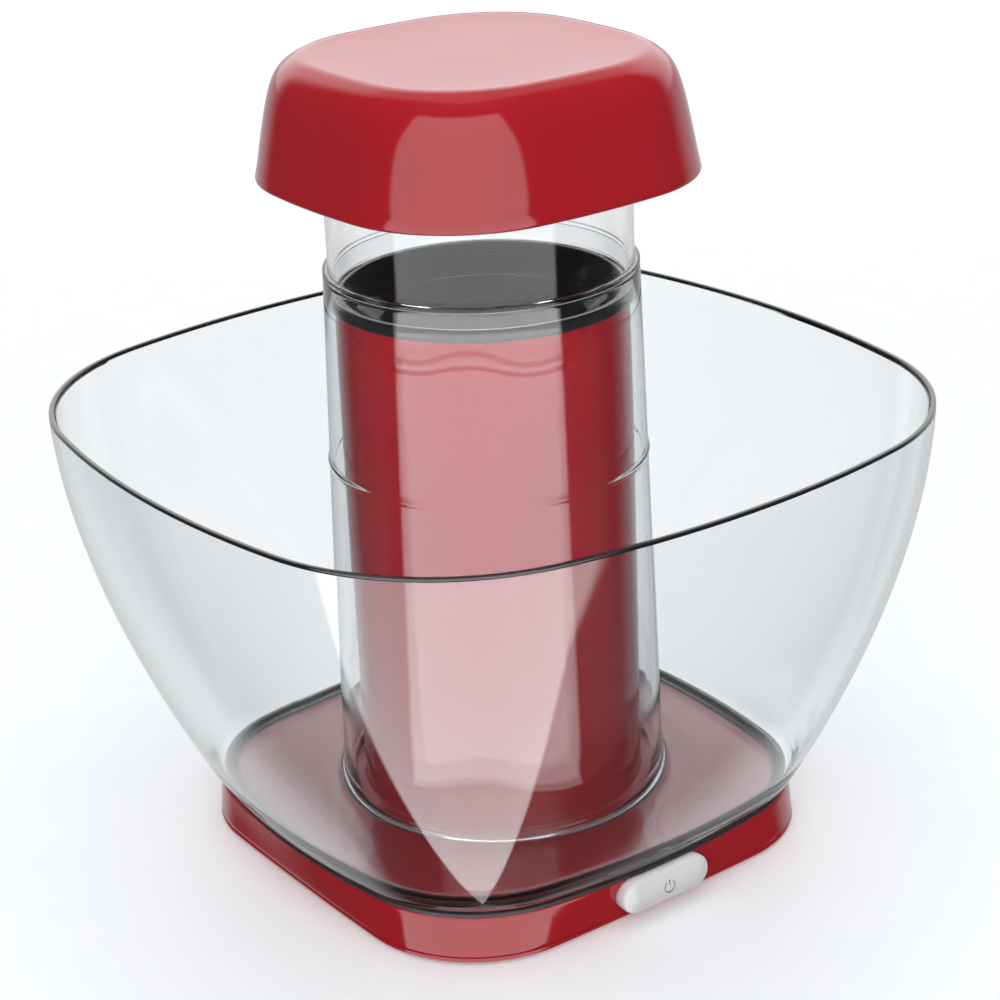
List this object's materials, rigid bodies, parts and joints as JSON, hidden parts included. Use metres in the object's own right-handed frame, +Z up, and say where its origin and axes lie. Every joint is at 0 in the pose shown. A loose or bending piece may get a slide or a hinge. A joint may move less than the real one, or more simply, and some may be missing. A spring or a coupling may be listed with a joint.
{
  "type": "popcorn maker",
  "caption": "Hot-air popcorn maker: red column and base, clear square bowl with centre sleeve, clear chimney and red lid, with motor, fan and heater inside.",
  "frame": {"origin": "on the surface it stands on, under the middle of the column", "axes": "+Z up through the column, -Y towards the front face with the button, +X to the right of someone facing the button"},
  "size_m": [0.27, 0.27, 0.2792],
  "materials": {
    "red_plastic": "glossy moulded",
    "black_plastic": "glossy moulded",
    "clear_plastic": "clear polished",
    "pale_plastic": "pale satin",
    "dark_plastic": "matte moulded",
    "ivory_plastic": "matte moulded",
    "foot_rubber": "matte",
    "seal_rubber": "satin",
    "screw_steel": "zinc plated",
    "sheet_steel": "galvanised",
    "motor_steel": "nickel plated",
    "chamber_coating": "black non-stick coating",
    "mica": "layered sheet",
    "heater_wire": "oxidised",
    "thermostat_metal": "pressed",
    "fuse_ceramic": "glazed",
    "bronze": "sintered",
    "magnet": "ground",
    "carbon": "moulded",
    "circuit_board": "solder mask",
    "armature": "laminated and wound",
    "brown_lead": "insulation",
    "white_lead": "insulation",
    "red_lead": "insulation"
  },
  "bodies": {
    "base": {"base_shell": "red_plastic", "bottom_cover": "red_plastic", "rubber_feet": "foot_rubber", "cover_screws": "screw_steel", "seat_gasket": "seal_rubber", "column_housing": "red_plastic", "column_screws": "screw_steel", "chamber_collar": "black_plastic", "popping_chamber": "chamber_coating", "chamber_screws": "screw_steel", "heat_shield": "sheet_steel", "heater_frame": "mica", "heater_coil": "heater_wire", "thermostat": "thermostat_metal", "thermal_fuse": "fuse_ceramic", "fan_housing": "dark_plastic", "motor_bracket": "sheet_steel", "bracket_screws": "screw_steel", "motor_screws": "screw_steel", "motor_can": "motor_steel", "motor_end_cap": "ivory_plastic", "motor_bushes": "bronze", "motor_magnets": "magnet", "motor_brushes": "carbon", "rectifier_board": "circuit_board", "rectifier_diodes": "carbon", "switch_body": "dark_plastic", "switch_screws": "screw_steel", "terminal_block": "ivory_plastic", "terminal_screws": "screw_steel", "live_lead": "brown_lead", "heater_leads": "white_lead", "motor_leads": "red_lead", "cord_gland": "black_plastic"},
    "rotor": {"motor_shaft": "motor_steel", "motor_armature": "armature", "motor_commutator": "bronze", "fan": "dark_plastic", "fan_nut": "bronze"},
    "button": {"power_button": "pale_plastic", "switch_plunger": "ivory_plastic"},
    "bowl": {"bowl": "clear_plastic", "bowl_rim_trim": "black_plastic"},
    "chimney": {"chimney": "clear_plastic"},
    "lid": {"lid_shell": "red_plastic"}
  },
  "joints": [
    {"name": "fan_spin", "type": "hinge", "parent": "base", "child": "rotor", "pos_m": [0, 0, 0.084], "axis": [0, 0, 1], "continuous": true},
    {"name": "button_press", "type": "slide", "parent": "base", "child": "button", "axis": [0, 1, 0], "range_m": [0, 0.0025], "stiffness_N_per_m": 300},
    {"name": "bowl_lift", "type": "slide", "parent": "base", "child": "bowl", "axis": [0, 0, 1], "range_m": [0, 0.2]},
    {"name": "chimney_lift", "type": "slide", "parent": "bowl", "child": "chimney", "axis": [0, 0, 1], "range_m": [0, 0.06]},
    {"name": "lid_lift", "type": "slide", "parent": "chimney", "child": "lid", "axis": [0, 0, 1], "range_m": [0, 0.05]}
  ]
}
